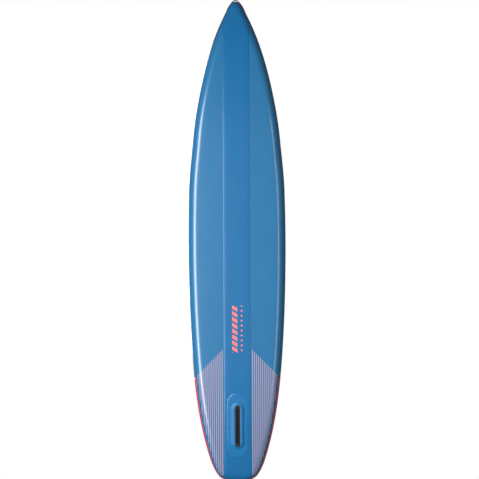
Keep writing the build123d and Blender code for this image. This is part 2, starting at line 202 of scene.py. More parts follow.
def tangent_frame(x, y, face):
    """Matrix of a spot on the deck or bottom: its x along the board, its z outwards."""
    step = 0.004
    along = (surface(x + step, y, face) - surface(x - step, y, face)).normalized()
    sideways = (surface(x, y + step, face) - surface(x, y - step, face)).normalized()
    out = along.cross(sideways) * face
    out.normalize()
    across_dir = out.cross(along)
    spot = Matrix((along, across_dir, out)).transposed().to_4x4()
    spot.translation = surface(x, y, face)
    return spot


def samples(s_low, s_high, step=0.016):
    """Places along the board, closer together near its ends."""
    total = lines.s[-1]
    places = [s_low]
    while places[-1] < s_high:
        edge = min(places[-1], total - places[-1])
        places.append(places[-1] + min(step, 0.0025 + edge * 0.06))
    places[-1] = s_high
    return places


# ------------------------------------------------------------------ mesh building
def mesh_object(name, points, faces, shade=True):
    mesh = bpy.data.meshes.new(name)
    mesh.from_pydata([tuple(p) for p in points], [], faces)
    made = bmesh.new()
    made.from_mesh(mesh)
    bmesh.ops.remove_doubles(made, verts=made.verts, dist=2e-6)
    bmesh.ops.dissolve_degenerate(made, dist=1e-7, edges=made.edges)
    bmesh.ops.recalc_face_normals(made, faces=made.faces)
    made.to_mesh(mesh)
    made.free()
    piece = bpy.data.objects.new(name, mesh)
    bpy.context.scene.collection.objects.link(piece)
    if shade:
        mesh.shade_smooth()
    return piece


def shell(name, outer, inner):
    """Closed thin piece between two grids of points of the same size."""
    rows, columns = len(outer), len(outer[0])
    points = [p for row in outer for p in row] + [p for row in inner for p in row]
    base = rows * columns
    faces = []
    for i in range(rows - 1):
        for j in range(columns - 1):
            a, b = i * columns + j, i * columns + j + 1
            c, d = a + columns, b + columns
            faces.append((a, b, d, c))
            faces.append((base + a, base + c, base + d, base + b))
    for i in range(rows - 1):
        for j in (0, columns - 1):
            a, c = i * columns + j, (i + 1) * columns + j
            faces.append((a, c, base + c, base + a))
    for j in range(columns - 1):
        for i in (0, rows - 1):
            a, b = i * columns + j, i * columns + j + 1
            faces.append((a, b, base + b, base + a))
    return mesh_object(name, points, faces)


def stack(name, loops, cap_first=True, cap_last=True):
    """Skin over closed loops of points with the same count."""
    count = len(loops[0])
    points = [p for loop in loops for p in loop]
    faces = []
    for i in range(len(loops) - 1):
        for j in range(count):
            k = (j + 1) % count
            faces.append((i * count + j, i * count + k, (i + 1) * count + k, (i + 1) * count + j))
    if cap_first:
        faces.append(tuple(range(count)))
    if cap_last:
        faces.append(tuple((len(loops) - 1) * count + j for j in reversed(range(count))))
    return mesh_object(name, points, faces)


def finish_edges(piece, angle=35):
    """Smooth shading, broken at edges sharper than the angle."""
    piece.data.shade_smooth()
    made = bmesh.new()
    made.from_mesh(piece.data)
    for edge in made.edges:
        sharp = len(edge.link_faces) == 2 and edge.calc_face_angle(0) > math.radians(angle)
        edge.smooth = not sharp
    made.to_mesh(piece.data)
    made.free()


def apply_modifiers(piece):
    graph = bpy.context.evaluated_depsgraph_get()
    mesh = bpy.data.meshes.new_from_object(piece.evaluated_get(graph))
    piece.modifiers.clear()
    piece.data = mesh


def cut(piece, tool, operation):
    modifier = piece.modifiers.new("cut", "BOOLEAN")
    modifier.operation, modifier.object, modifier.solver = operation, tool, "EXACT"
    apply_modifiers(piece)
    bpy.data.objects.remove(tool)


def place(piece, material, body="hull", replaces=()):
    """Gives a piece its material and body, and hides the CAD nodes that it stands for.
    """
    piece.data.materials.clear()
    piece.data.materials.append(material)
    if body:
        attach(piece, body)
    if replaces:
        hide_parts(*replaces)
    return piece


def rounded_loop(length, width, radius, steps=10):
    """Rounded rectangle about the origin, as x, y pairs, its long sides divided finely."""
    found = []
    for corner in range(4):
        sx, sy = ((1, 1), (-1, 1), (-1, -1), (1, -1))[corner]
        for i in range(steps + 1):
            angle = math.pi / 2 * (corner + i / steps)
            found.append((sx * (length / 2 - radius) + radius * math.cos(angle),
                          sy * (width / 2 - radius) + radius * math.sin(angle)))
        if corner in (0, 2):
            x, y = found[-1]
            side = 2 * abs(x)
            count = max(1, int(side / 0.02))
            found += [(x - sx * side * i / count, y) for i in range(1, count)]
    return found


# ------------------------------------------------------------------ material building
class Shader:
    """A principled material and the few node calls that this script needs."""

    def __init__(self, name, color, roughness=0.5, metallic=0.0):
        self.material = bpy.data.materials.new(name)
        self.material.use_nodes = True
        self.tree = self.material.node_tree
        self.bsdf = self.tree.nodes["Principled BSDF"]
        self.bsdf.inputs["Base Color"].default_value = (*color, 1)
        self.bsdf.inputs["Roughness"].default_value = roughness
        self.bsdf.inputs["Metallic"].default_value = metallic
        self.place = self.tree.nodes.new("ShaderNodeTexCoord").outputs["Object"]
        split = self.tree.nodes.new("ShaderNodeSeparateXYZ")
        self.tree.links.new(self.place, split.inputs[0])
        self.x, self.y, self.z = split.outputs

    def put(self, target, value):
        if hasattr(value, "links"):
            self.tree.links.new(value, target)
        elif hasattr(value, "__len__"):
            target.default_value = (*value, 1)[:4]
        else:
            target.default_value = value

    def math(self, operation, *values):
        node = self.tree.nodes.new("ShaderNodeMath")
        node.operation = operation
        for socket, value in zip(node.inputs, values):
            self.put(socket, value)
        return node.outputs[0]

    def both(self, *masks):
        found = masks[0]
        for mask in masks[1:]:
            found = self.math("MULTIPLY", found, mask)
        return found

    def between(self, value, low, high):
        return self.both(self.math("GREATER_THAN", value, low), self.math("LESS_THAN", value, high))

    def mix(self, factor, first, second):
        node = self.tree.nodes.new("ShaderNodeMix")
        node.data_type = "RGBA"
        self.put(node.inputs[0], factor)
        self.put(node.inputs[6], first)
        self.put(node.inputs[7], second)
        return node.outputs[2]

    def noise(self, scale, detail=2.0, stretch=None):
        node = self.tree.nodes.new("ShaderNodeTexNoise")
        node.inputs["Scale"].default_value = scale
        node.inputs["Detail"].default_value = detail
        self.tree.links.new(self.stretched(stretch), node.inputs["Vector"])
        return node.outputs["Fac"]

    def cells(self, scale):
        node = self.tree.nodes.new("ShaderNodeTexVoronoi")
        node.inputs["Scale"].default_value = scale
        self.tree.links.new(self.place, node.inputs["Vector"])
        return node.outputs["Distance"]

    def attribute(self, name):
        node = self.tree.nodes.new("ShaderNodeAttribute")
        node.attribute_name = name
        return node.outputs["Fac"]

    def stretched(self, stretch):
        if not stretch:
            return self.place
        node = self.tree.nodes.new("ShaderNodeMapping")
        node.inputs["Scale"].default_value = stretch
        self.tree.links.new(self.place, node.inputs["Vector"])
        return node.outputs[0]

    def ripple(self, value, pitch):
        """Sine of a coordinate, one period each pitch, from 0 to 1."""
        turned = self.math("SINE", self.math("MULTIPLY", value, TAU / pitch))
        return self.math("MULTIPLY_ADD", turned, 0.5, 0.5)

    def range(self, value, low, high):
        node = self.tree.nodes.new("ShaderNodeMapRange")
        self.put(node.inputs["Value"], value)
        node.inputs["To Min"].default_value = low
        node.inputs["To Max"].default_value = high
        return node.outputs[0]

    def bump(self, height, distance, strength=1.0):
        node = self.tree.nodes.new("ShaderNodeBump")
        node.inputs["Distance"].default_value = distance
        node.inputs["Strength"].default_value = strength
        self.put(node.inputs["Height"], height)
        if self.bsdf.inputs["Normal"].links:
            self.put(node.inputs["Normal"], self.bsdf.inputs["Normal"].links[0].from_socket)
        self.put(self.bsdf.inputs["Normal"], node.outputs[0])

    def color(self, value):
        self.put(self.bsdf.inputs["Base Color"], value)

    def vary(self, color, amount, scale):
        """The colour with broad patches a little lighter and darker."""
        low = [c * (1 - amount) for c in color]
        high = [min(1, c * (1 + amount)) for c in color]
        return self.mix(self.noise(scale, 3), low, high)

    def roughen(self, low, high, scale):
        self.put(self.bsdf.inputs["Roughness"], self.range(self.noise(scale, 3), low, high))


def srgb(*values):
    """Linear colour from 0 to 255 screen values."""
    return [((v / 255 + 0.055) / 1.055) ** 2.4 if v > 10 else v / 255 / 12.92 for v in values]


BLUE = srgb(32, 104, 150)
STRINGER_BLUE = srgb(16, 98, 150)
BRIGHT_BLUE = srgb(20, 104, 158)
NAVY = srgb(30, 58, 104)
TEAL = srgb(34, 92, 128)
RED = srgb(232, 30, 40)
CORAL = srgb(232, 118, 112)
STRIPE = srgb(164, 142, 160)
SCRIM = 1.1 * MM           # threads of the cloth inside the laminate


def laminate(name, color, roughness=(0.3, 0.37), paint=None):
    """Satin PVC over a woven scrim. paint adds printing to the base colour."""
    made = Shader(name, color)
    base = made.vary(color, 0.06, 2.3)
    made.color(paint(made, base) if paint else base)
    made.roughen(*roughness, 9)
    made.bsdf.inputs["Coat Weight"].default_value = 0.8
    made.bsdf.inputs["Coat Roughness"].default_value = 0.22
    made.bump(made.noise(1.7, 2, (1, 3.5, 1)), 2.2 * MM, 0.35)
    made.bump(made.noise(26, 2), 0.35 * MM, 0.35)
    weave = made.math("MULTIPLY", made.ripple(made.x, SCRIM), made.ripple(made.y, SCRIM))
    made.bump(weave, 0.03 * MM, 0.6)
    return made.material


STRIPE_PITCH = 15.7 * MM
STRIPE_SHARE = 0.42        # of the pitch that is printed
STRIPE_MARGIN = 27 * MM    # from the stripes' ends to the outline
RAIL_GAP = "rail_gap"      # vertex attribute: how far inside the outline a point lies
STRIPE_FIRST = 118 * MM
STRIPE_FRONT = NOSE_END - 2.768
STRIPE_REAR = TAIL_END + 0.062


def pinstripes(made, base):
    """Thin lines along the tail, starting on a slant on each side."""
    out = made.math("SUBTRACT", made.math("ABSOLUTE", made.y), STRIPE_FIRST)
    moved = made.math("ADD", out, STRIPE_PITCH / 4)
    phase = made.math("FRACT", made.math("DIVIDE", moved, STRIPE_PITCH))
    line = made.math("LESS_THAN", phase, STRIPE_SHARE)
    slant = made.math("LESS_THAN", made.math("ADD", made.x, out), STRIPE_FRONT)
    area = made.both(made.math("GREATER_THAN", out, -STRIPE_PITCH / 4), slant,
                     made.math("GREATER_THAN", made.x, STRIPE_REAR),
                     made.math("GREATER_THAN", made.attribute(RAIL_GAP), STRIPE_MARGIN))
    return made.mix(made.both(line, area), base, STRIPE)


MARK_FRONT, MARK_REAR = NOSE_END - 2.424, NOSE_END - 2.787
DASH_PITCH = (MARK_FRONT - MARK_REAR) / 8
DOT_PITCH = 38 * MM


def dashes_and_dots(made, base):
    """Plain printed trim on the stringer: a row of dashes and a row of dots."""
    along = made.math("SUBTRACT", made.x, MARK_REAR)
    inside = made.between(made.x, MARK_REAR, MARK_FRONT)
    slanted = made.math("ADD", along, made.math("MULTIPLY", made.y, 0.6))
    dash = made.math("LESS_THAN", made.math("FRACT", made.math("DIVIDE", slanted, DASH_PITCH)), 0.62)
    dash = made.both(dash, inside, made.between(made.y, -38 * MM, 2 * MM))
    cell = made.math("SUBTRACT", made.math("FRACT", made.math("DIVIDE", along, DOT_PITCH)), 0.5)
    dx = made.math("MULTIPLY", cell, DOT_PITCH)
    dy = made.math("SUBTRACT", made.y, 35 * MM)
    squares = made.math("ADD", made.math("MULTIPLY", dx, dx), made.math("MULTIPLY", dy, dy))
    far = made.math("SQRT", squares)
    dot = made.both(made.math("LESS_THAN", far, 7 * MM), inside)
    return made.mix(made.math("MAXIMUM", dash, dot), base, CORAL)


def foam(name, color):
    """Closed-cell EVA with a fine brushed grain."""
    made = Shader(name, color, 0.8)
    made.color(made.vary(color, 0.12, 30))
    made.bump(made.cells(900), 0.25 * MM, 0.5)
    made.bump(made.noise(260, 3, (1, 4, 1)), 0.2 * MM, 0.5)
    return made


def weave(name, color, pitch=1.6 * MM):
    """Woven webbing: rows of small ribs with a herringbone offset, the colour darker between the ribs
    as painted shade.
    """
    made = Shader(name, color, 0.72)
    length = made.math("ADD", made.x, made.z)
    ribs = made.ripple(made.math("ADD", length, made.math("MULTIPLY", made.y, 0.35)), pitch)
    picks = made.ripple(made.math("SUBTRACT", made.y, made.math("MULTIPLY", made.x, 0.2)), pitch * 1.7)
    cloth = made.math("MULTIPLY", ribs, picks)
    # painted shade: the colour darkens where the ribs and picks are low
    dark = [c * 0.55 for c in color]
    made.color(made.mix(cloth, dark, made.vary(color, 0.2, 60)))
    made.bump(cloth, 0.35 * MM, 0.9)
    made.bsdf.inputs["Sheen Weight"].default_value = 0.25
    return made.material


def moulded(name, color, roughness=0.45):
    """Moulded plastic with a spark-eroded grain."""
    made = Shader(name, color, roughness)
    made.color(made.vary(color, 0.1, 45))
    made.roughen(roughness - 0.06, roughness + 0.08, 70)
    made.bump(made.noise(1500, 2), 0.05 * MM, 0.5)
    return made.material


def steel(name, color, roughness):
    """Polished or drawn stainless steel with faint drawing lines."""
    made = Shader(name, color, roughness, 1.0)
    made.color(made.vary(color, 0.05, 120))
    made.roughen(roughness, roughness + 0.12, 400)
    made.bump(made.noise(900, 2, (1, 1, 6)), 0.02 * MM, 0.4)
    return made.material


def rubber(name, color):
    made = Shader(name, color, 0.6)
    made.color(made.vary(color, 0.15, 80))
    made.bump(made.noise(700, 2), 0.06 * MM, 0.5)
    return made.material


def eva_deck(name, color):
    """Deck foam with a fine embossed diamond pattern between its cut grooves, the colour darker in the
    diamonds' hollows as painted shade.
    """
    made = foam(name, color)
    first = made.ripple(made.math("ADD", made.x, made.y), 9 * MM)
    second = made.ripple(made.math("SUBTRACT", made.x, made.y), 9 * MM)
    diamonds = made.math("MULTIPLY", first, second)
    made.bump(diamonds, 0.9 * MM, 0.8)
    # painted shade: the colour darkens in the hollows of the embossed diamonds
    made.color(made.mix(diamonds, [c * 0.72 for c in color], made.vary(color, 0.12, 30)))
    return made.material


pvc_bottom = laminate("pvc_bottom", BLUE, paint=pinstripes)
pvc_deck = laminate("pvc_deck", BLUE)
pvc_stringer = laminate("pvc_stringer", STRINGER_BLUE, paint=dashes_and_dots)
pvc_fin_patch = laminate("pvc_fin_patch", BRIGHT_BLUE)
pvc_navy = laminate("pvc_navy", NAVY)
pvc_teal = laminate("pvc_teal", TEAL)
pvc_red = laminate("pvc_red", RED)
pvc_patch = laminate("pvc_patch", srgb(24, 66, 104))
inner_pvc = laminate("inner_pvc", srgb(205, 208, 210), (0.5, 0.6))
tape_pvc = laminate("tape_pvc", srgb(110, 114, 120), (0.5, 0.6))
yarn = weave("yarn", srgb(226, 224, 214), 0.9 * MM)
eva = eva_deck("eva_deck", srgb(128, 138, 146))
eva_kick = foam("eva_kick", srgb(38, 70, 104)).material
webbing = weave("webbing", srgb(74, 70, 74))
stitching = weave("stitching", srgb(206, 206, 200), 0.8 * MM)
neoprene = weave("neoprene", srgb(34, 36, 40), 0.7 * MM)
black_plastic = moulded("black_plastic", srgb(5, 7, 9), 0.5)
fin_base_plastic = moulded("fin_base_plastic", BRIGHT_BLUE, 0.5)
valve_plastic = moulded("valve_plastic", srgb(44, 46, 50))
cap_plastic = moulded("cap_plastic", srgb(30, 32, 36), 0.5)
silicone = rubber("silicone", srgb(22, 22, 24))
ring_steel = steel("ring_steel", srgb(205, 206, 208), 0.16)
spring_steel = steel("spring_steel", srgb(180, 180, 182), 0.3)


# ------------------------------------------------------------------ hull pieces
def panel(name, face, material, node):
    """Deck or bottom skin: flat in the middle, turning into the rails under the bands."""
    edge = BELT - SKIN_LAP
    ends = [s for s in np.linspace(0, lines.s[-1], 4000) if lines.at(s)[0][3] > edge + 2e-4]
    outer, inner = [], []
    for s in samples(ends[0], ends[-1]):
        row = lines.at(s)[0]
        stop = math.asin(min(1, edge / max(row[3], 1e-6)))
        angles = [stop + (math.pi / 2 - stop) * share for share in np.linspace(0, 1, 15)]
        for grid, grow in ((outer, 0.0), (inner, -2 * MM)):
            x, flat, _, middle, half = section(row, grow)
            left = [round_side(row, face * a, 1, grow) for a in angles]
            right = [round_side(row, face * a, -1, grow) for a in reversed(angles)]
            level = [(x, y, middle + face * half) for y in np.linspace(flat, -flat, 13)[1:-1]]
            grid.append(left + level + right)
    skin = shell(name, outer, inner)
    gap = skin.data.attributes.new(RAIL_GAP, "FLOAT", "POINT")
    for vertex in skin.data.vertices:
        gap.data[vertex.index].value = lines.row(vertex.co.x)[1] - abs(vertex.co.y)
    return place(skin, material, replaces=(node,))


CORE_TOP, CORE_BASE = -2.2 * MM, -4.2 * MM     # the drop-stitch sheets and inner walls
CORE_INSET = 82 * MM
WALL_END = 40 * MM


def core_sheet(name, face):
    """Flat drop-stitch sheet that the deck or bottom skin is laid over."""
    low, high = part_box(name)
    outer, inner = [], []
    for s in samples(lines.s_of(low.x), lines.s_of(high.x), 0.05):
        row = lines.at(s)[0]
        half = max(4 * MM, row[1] - CORE_INSET)
        spots = np.linspace(-half, half, 9)
        outer.append([across(row, y, face, CORE_TOP) for y in spots])
        inner.append([across(row, y, face, CORE_BASE) for y in spots])
    place(shell(name, outer, inner), inner_pvc, replaces=(name,))


def inner_wall(side_name, side):
    """Rounded wall of the air chamber, inside the rail."""
    outer, inner = [], []
    name = f"inner_wall_{side_name}"
    for s in samples(lines.s_of(TAIL_END + WALL_END), lines.s_of(NOSE_END - WALL_END), 0.05):
        row = lines.at(s)[0]
        angles = np.linspace(-math.pi / 2, math.pi / 2, 17)
        outer.append([round_side(row, a, side, CORE_TOP) for a in angles])
        inner.append([round_side(row, a, side, CORE_BASE) for a in angles])
    place(shell(name, outer, inner), inner_pvc, replaces=(name,))


def rail_band(stretch, side_name, material, lift):
    """Strip of laminate round the rail, proud of the skins."""
    side = 1 if side_name == "left" else -1
    node = f"rail_band_{stretch}_{side_name}"
    low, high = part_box(node)
    s_low = 0.0 if stretch == "tail" else lines.s_of(low.x)
    s_high = lines.s[-1] if stretch == "nose" else lines.s_of(high.x)
    outer, inner = [], []
    for s in samples(s_low, s_high):
        row = lines.at(s)[0]
        stop = math.asin(min(1, BELT / max(row[3], 1e-6)))
        angles = [stop * v for v in (-1, -0.985, -0.85, -0.6, -0.3, 0, 0.3, 0.6, 0.85, 0.985, 1)]
        heights = [0.1 * MM if abs(a) == stop and stop < 1.5 else lift for a in angles]
        outer.append([round_side(row, a, side, up) for a, up in zip(angles, heights)])
        inner.append([round_side(row, a, side, -0.8 * MM) for a in angles])
    return place(shell(node, outer, inner), material, replaces=(node,))


def bottom_stringer():
    """Reinforcing strip down the middle of the bottom, running out along the rails at the nose."""
    low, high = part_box("bottom_stringer")
    wide, inset = high.y, 22 * MM
    edge = [-1, -0.95, -0.9, -0.85, -0.8]
    shares = edge + list(np.linspace(-0.7, 0.7, 15)) + [-v for v in reversed(edge)]
    edge_ups = [0.1, 0.35, 0.7, 1.0, 1.2]
    ups = edge_ups + [1.25] * 15 + edge_ups[::-1]
    outer, inner = [], []
    for s in samples(lines.s_of(low.x), lines.s_of(high.x)):
        row = lines.at(s)[0]
        half = max(0.004, min(wide, row[1] - inset))
        outer.append([across(row, half * v, -1, up * MM) for v, up in zip(shares, ups)])
        inner.append([across(row, half * v, -1, -0.6 * MM) for v in shares])
    strip = shell("bottom_stringer", outer, inner)
    return place(strip, pvc_stringer, replaces=("bottom_stringer",))


panel("bottom_skin", -1, pvc_bottom, "bottom_skin")
panel("deck_skin", 1, pvc_deck, "deck_skin")
for side_name in ("left", "right"):
    rail_band("nose", side_name, pvc_navy, 1.3 * MM)
    rail_band("mid", side_name, pvc_teal, 0.6 * MM)
    rail_band("tail", side_name, pvc_red, 0.9 * MM)
    inner_wall(side_name, 1 if side_name == "left" else -1)
core_sheet("core_bottom_sheet", -1)
core_sheet("core_deck_sheet", 1)
bottom_stringer()


# ------------------------------------------------------------------ glued patches
def glued_patch(name, loop, face, height, material, node=None, lift=0.0, dome=0.0):
    """Patch that follows the hull inside a closed loop of x, y points, its middle raised by a dome."""
    count = len(loop)
    cx = sum(p[0] for p in loop) / count
    cy = sum(p[1] for p in loop) / count
    rings = [(0.0, 1.0), (0.25, 1.0), (0.5, 1.0), (0.75, 1.0), (0.93, 1.0), (0.975, 0.86), (1.0, 0.15)]
    top, base = [], []
    for share, up in rings:
        spots = [(cx + (x - cx) * share, cy + (y - cy) * share) for x, y in loop]
        rise = lift + height * up + dome * smooth(1.6 * (1 - share))
        top.append([surface(x, y, face, rise) for x, y in spots])
        base.append([surface(x, y, face, lift - 0.5 * MM) for x, y in spots])
    patch = stack(name, top + base[::-1], cap_first=False, cap_last=False)
    return place(patch, material, replaces=(node,) if node else ())


def circle_loop(x, y, radius, steps=48):
    return [(x + radius * math.cos(TAU * i / steps), y + radius * math.sin(TAU * i / steps))
            for i in range(steps)]


def shifted(loop, x, y):
    return [(x + px, y + py) for px, py in loop]


# ------------------------------------------------------------------ fin box
fin_low, fin_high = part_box("fin_box_base")
FIN_X = (fin_low.x + fin_high.x) / 2
FIN_SPOT = tangent_frame(FIN_X, 0, -1)
FIN_LENGTH, FIN_WIDTH = 0.371, fin_high.y - fin_low.y
INSERT_LENGTH, INSERT_WIDTH = 0.333, 0.040


def fin_loop(inset, rise, length=FIN_LENGTH, width=FIN_WIDTH):
    """Long round-ended outline at a height over the bottom."""
    loop = rounded_loop(length - 2 * inset, width - 2 * inset, width / 2 - inset - 1e-4, 14)
    return [FIN_SPOT @ Vector((x, y, rise)) for x, y in loop]


def fin_box():
    oval_low, oval_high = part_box("fin_box_patch")
    length, width = oval_high.x - oval_low.x, oval_high.y - oval_low.y
    oval = shifted(rounded_loop(length, width, width / 2 - 1e-4, 16), FIN_X, 0)
    glued_patch("fin_box_patch", oval, -1, 1.5 * MM, pvc_fin_patch, "fin_box_patch",
                lift=1.3 * MM)
    profile = [(0, -6), (0, 3.2), (2.5, 4.2), (6, 5.6), (10, 8.6), (14, 12), (18, 14.3),
               (22, 15.1), (28, 15.2), (33.5, 15.0), (34.4, 14.2)]
    loops = [fin_loop(inset * MM, rise * MM) for inset, rise in profile]
    inner = INSERT_WIDTH + 0.6 * MM
    loops += [fin_loop(0, rise * MM, INSERT_LENGTH + 0.6 * MM, inner) for rise in (14.2, -6)]
    base = stack("fin_box_base", loops, cap_first=False, cap_last=False)
    finish_edges(base, 40)
    place(base, fin_base_plastic, replaces=("fin_box_base",))


fin_box()


# ------------------------------------------------------------------ deck pad and kick pad
GROOVE_PITCH, GROOVE_WIDTH, GROOVE_DEPTH = 40 * MM, 5 * MM, 2.2 * MM
PAD_INSET = 92 * MM        # from the pad's edge to the outline
WELL_LENGTH, WELL_WIDTH, WELL_CORNER = 0.33, 0.15, 0.03     # opening round the carry handle
CUT_HEIGHTS = (-0.1, 0.6)  # a cutter's floor and top, past the whole board


def prism(name, loop, low, high):
    count = len(loop)
    points = [(x, y, low) for x, y in loop] + [(x, y, high) for x, y in loop]
    faces = [tuple(reversed(range(count))), tuple(range(count, 2 * count))]
    faces += [(i, (i + 1) % count, count + (i + 1) % count, count + i) for i in range(count)]
    return mesh_object(name, points, faces, shade=False)


def pad_outline(low, high, inset, corner=0.11):
    """Outline of the pad, tail to nose on the left side and back on the right."""
    left = []
    for i in range(121):
        share = i / 120
        x = low.x + (high.x - low.x) * (1 - math.cos(math.pi * share)) / 2
        near = min(x - low.x, high.x - x)
        rounding = corner - math.sqrt(max(0, corner**2 - max(0, corner - near) ** 2))
        left.append((x, min(high.y - rounding, lines.row(x)[1] - inset)))
    return left + [(x, -y) for x, y in reversed(left)]


def deck_pad():
    low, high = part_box("deck_pad")
    offsets = []
    count = int(high.y / GROOVE_PITCH) + 1
    for i in range(-count, count + 1):
        centre = i * GROOVE_PITCH
        for shift, deep in ((-0.5, 0), (-0.32, 1), (0.32, 1), (0.5, 0)):
            offsets.append((centre + shift * GROOVE_WIDTH, deep))
        offsets.append((centre + GROOVE_PITCH / 2, 0))
    offsets = [(y, deep) for y, deep in offsets if abs(y) < high.y + 0.01]
    outer, inner = [], []
    for x in np.linspace(low.x - 0.01, high.x + 0.01, 110):
        row = lines.row(x)
        outer.append([across(row, y, 1, (5 * MM) - deep * GROOVE_DEPTH) for y, deep in offsets])
        inner.append([across(row, y, 1, 0.1 * MM) for y, _ in offsets])
    pad = shell("deck_pad", outer, inner)
    cut(pad, prism("pad_room", pad_outline(low, high, PAD_INSET), *CUT_HEIGHTS), "INTERSECT")
    strap_low, strap_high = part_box("carry_handle_strap")
    middle = (strap_low.x + strap_high.x) / 2
    well = shifted(rounded_loop(WELL_LENGTH, WELL_WIDTH, WELL_CORNER), middle, 0)
    cut(pad, prism("well", well, *CUT_HEIGHTS), "DIFFERENCE")
    finish_edges(pad, 30)
    place(pad, eva, replaces=("deck_pad",))


def kick_pad():
    """Raised wedge under the back foot, with rounded edges."""
    low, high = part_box("kick_pad")
    profile = [(0.0, 4.6), (0.02, 19), (0.10, 27), (0.20, 30), (0.36, 30), (0.48, 25), (0.62, 17),
               (0.80, 9.5), (0.97, 5.4), (1.0, 4.6)]
    shares = [-1, -0.985, -0.95, -0.9] + list(np.linspace(-0.84, 0.84, 25)) + [0.9, 0.95, 0.985, 1]
    loops = []
    for v in shares:
        shrink = 1 - 0.45 * max(0, abs(v) - 0.9) / 0.1
        loop = []
        for share, up in profile:
            x = low.x + (high.x - low.x) * share
            rise = 4.6 + (up - 4.6) * shrink
            loop.append(surface(x, v * high.y, 1, rise * MM))
        loops.append(loop)
    wedge = stack("kick_pad", loops)
    finish_edges(wedge, 50)
    place(wedge, eva_kick, replaces=("kick_pad",))


deck_pad()
kick_pad()


# ------------------------------------------------------------------ webbing
def smooth_path(points, per=8):
    """Rounded path through straight runs, as a quadratic spline."""
    points = [Vector(p) for p in points]
    found = [points[0]]
    for i in range(1, len(points) - 1):
        a = (points[i - 1] + points[i]) / 2 if i > 1 else points[0]
        b = (points[i] + points[i + 1]) / 2 if i < len(points) - 2 else points[-1]
        for j in range(1, per + 1):
            t = j / per
            found.append(a * (1 - t) ** 2 + points[i] * 2 * t * (1 - t) + b * t * t)
    return found


def strap_mesh(name, path, width_dir, width, thick):
    """Flat woven strap along a path, with rounded selvedges."""
    width_dir = Vector(width_dir).normalized()
    outline = [(-0.5, 0.0), (-0.47, 0.5), (-0.3, 0.5), (0, 0.5), (0.3, 0.5), (0.47, 0.5), (0.5, 0.0),
               (0.47, -0.5), (0.3, -0.5), (0, -0.5), (-0.3, -0.5), (-0.47, -0.5)]
    loops = []
    for i, spot in enumerate(path):
        before, after = path[max(i - 1, 0)], path[min(i + 1, len(path) - 1)]
        up = (after - before).normalized().cross(width_dir)
        loops.append([spot + width_dir * (a * width) + up * (b * thick) for a, b in outline])
    return stack(name, loops)


def stitch_box(name, spot, length, width, lift):
    """Box of thread with a cross in it, sewn through a strap's end."""
    corners = [(-0.5, -0.5), (0.5, -0.5), (0.5, 0.5), (-0.5, 0.5)]
    runs = [(corners[i], corners[(i + 1) % 4]) for i in range(4)]
    runs += [(corners[0], corners[2]), (corners[1], corners[3])]
    points, faces = [], []
    for (ax, ay), (bx, by) in runs:
        a, b = Vector((ax * length, ay * width, lift)), Vector((bx * length, by * width, lift))
        count = max(2, int((b - a).length / (3.2 * MM)))
        along = (b - a).normalized()
        aside = Vector((-along.y, along.x, 0)) * 0.45 * MM
        for i in range(count):
            start, end = a.lerp(b, (i + 0.12) / count), a.lerp(b, (i + 0.88) / count)
            first = len(points)
            crown = Vector((0, 0, 0.5 * MM))
            points += [start + aside, start - aside, end - aside, end + aside,
                       (start + end) / 2 + aside * 0.6 + crown, (start + end) / 2 - aside * 0.6 + crown]
            pattern = ((0, 4, 3), (1, 2, 5), (0, 1, 5, 4), (4, 5, 2, 3), (0, 3, 2, 1))
            faces += [tuple(first + corner for corner in face) for face in pattern]
    thread = mesh_object(name, [spot @ p for p in points], faces, shade=False)
    return place(thread, stitching)


def carry_handle():
    low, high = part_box("carry_handle_strap")
    middle = (low.x + high.x) / 2
    patch_low, patch_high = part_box("carry_handle_patches")
    for end, sign in (("front", 1), ("rear", -1)):
        outline = rounded_loop(0.086, patch_high.y - patch_low.y, 0.014, 6)
        loop = shifted(outline, middle + sign * 0.118, 0)
        glued_patch(f"carry_handle_patch_{end}", loop, 1, 2 * MM, pvc_patch,
                    "carry_handle_patches")
        spot = tangent_frame(middle + sign * 0.124, 0, 1)
        stitch_box(f"carry_handle_stitch_{end}", spot, 0.034, 0.028, 5.1 * MM)
    deck_z = surface(middle, 0, 1).z
    half = [(0, 35), (40, 35), (68, 34), (92, 6), (104, 3.5), (150, 3.5)]
    route = [(-x, z) for x, z in half[:0:-1]] + half
    path = smooth_path([(middle + x * MM, 0, deck_z + z * MM) for x, z in route])
    strap = strap_mesh("carry_handle_strap", path, (0, 1, 0), high.y - low.y, 2.8 * MM)
    place(strap, webbing, replaces=("carry_handle_strap",))
    grip_low, grip_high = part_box("carry_handle_grip")
    centre = (grip_low + grip_high) / 2
    loops = []
    half_length = (grip_high.x - grip_low.x) / 2
    for i in range(33):
        share = i / 32 * 2 - 1
        swell = (1 - abs(share) ** 7) ** 0.5 * (0.90 + 0.10 * math.cos(share * math.pi / 2))
        swell = max(swell, 0.42)
        loop = []
        for j in range(40):
            angle = TAU * j / 40
            wide, tall = 0.0245 * swell, 0.0118 * swell
            seam = 1 - 0.05 * math.exp(-((angle - math.pi * 1.5) / 0.12) ** 2)
            loop.append((centre.x + share * half_length, wide * math.cos(angle) * seam,
                         centre.z + tall * math.sin(angle) * seam))
        loops.append(loop)
    grip = stack("carry_handle_grip", loops)
    place(grip, neoprene, replaces=("carry_handle_grip",))


def end_handle(name, sign):
    """Webbing across an end of the board at mid height, its ends on rail patches."""
    low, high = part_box(name)
    level = (low.z + high.z) / 2
    tip_x = (high.x if sign > 0 else low.x) - sign * 1.5 * MM
    root_x = low.x if sign > 0 else high.x
    root_y = high.y - 2 * MM
    apex = 0.014 if sign > 0 else 0.072
    mid_x = root_x + (tip_x - root_x) * (0.38 if sign > 0 else 0.55)
    mid_y = lines.row(mid_x)[1] + 4 * MM
    half = [(tip_x, 0), (tip_x, apex), (mid_x, mid_y), (root_x, root_y)]
    route = [(x, -y) for x, y in half[:0:-1]] + half
    path = smooth_path([(x, y, level) for x, y in route])
    strap = strap_mesh(name, path, (0, 0, 1), high.z - low.z, 2.6 * MM)
    place(strap, webbing, replaces=(name,))


